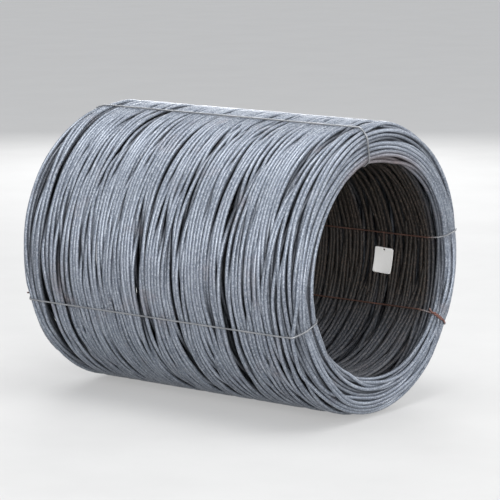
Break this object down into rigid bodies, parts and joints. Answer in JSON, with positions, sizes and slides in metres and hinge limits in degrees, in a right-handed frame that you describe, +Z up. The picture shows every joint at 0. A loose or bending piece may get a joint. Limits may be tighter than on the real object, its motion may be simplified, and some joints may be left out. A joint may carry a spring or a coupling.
{
  "type": "coil of wire rod",
  "caption": "Lying coil of hot-rolled steel wire rod with an open bore, rounded ends that show the turns, wire ties with twisted knots and a bare tag in the bore.",
  "frame": {"origin": "on the ground under the middle of the coil, which is the middle of the bottom of its bounding box", "axes": "+Y along the coil's axis from the front end to the rear end, +Z up; the end with the knot by the bore faces -Y"},
  "size_m": [1.25, 1.54, 1.25],
  "materials": {
    "rod": "hot-rolled, with dull blue-grey mill scale and a little rust",
    "tie_wire": "dark annealed wire",
    "tag": "plain off-white, slightly dirty, bare"
  },
  "bodies": {
    "root": {"rod_coil": "rod", "tie_right": "tie_wire", "tie_top": "tie_wire", "tie_lower_left": "tie_wire", "tie_lower_right": "tie_wire", "tag": "tag", "tag_wire": "tie_wire"}
  },
  "joints": []
}
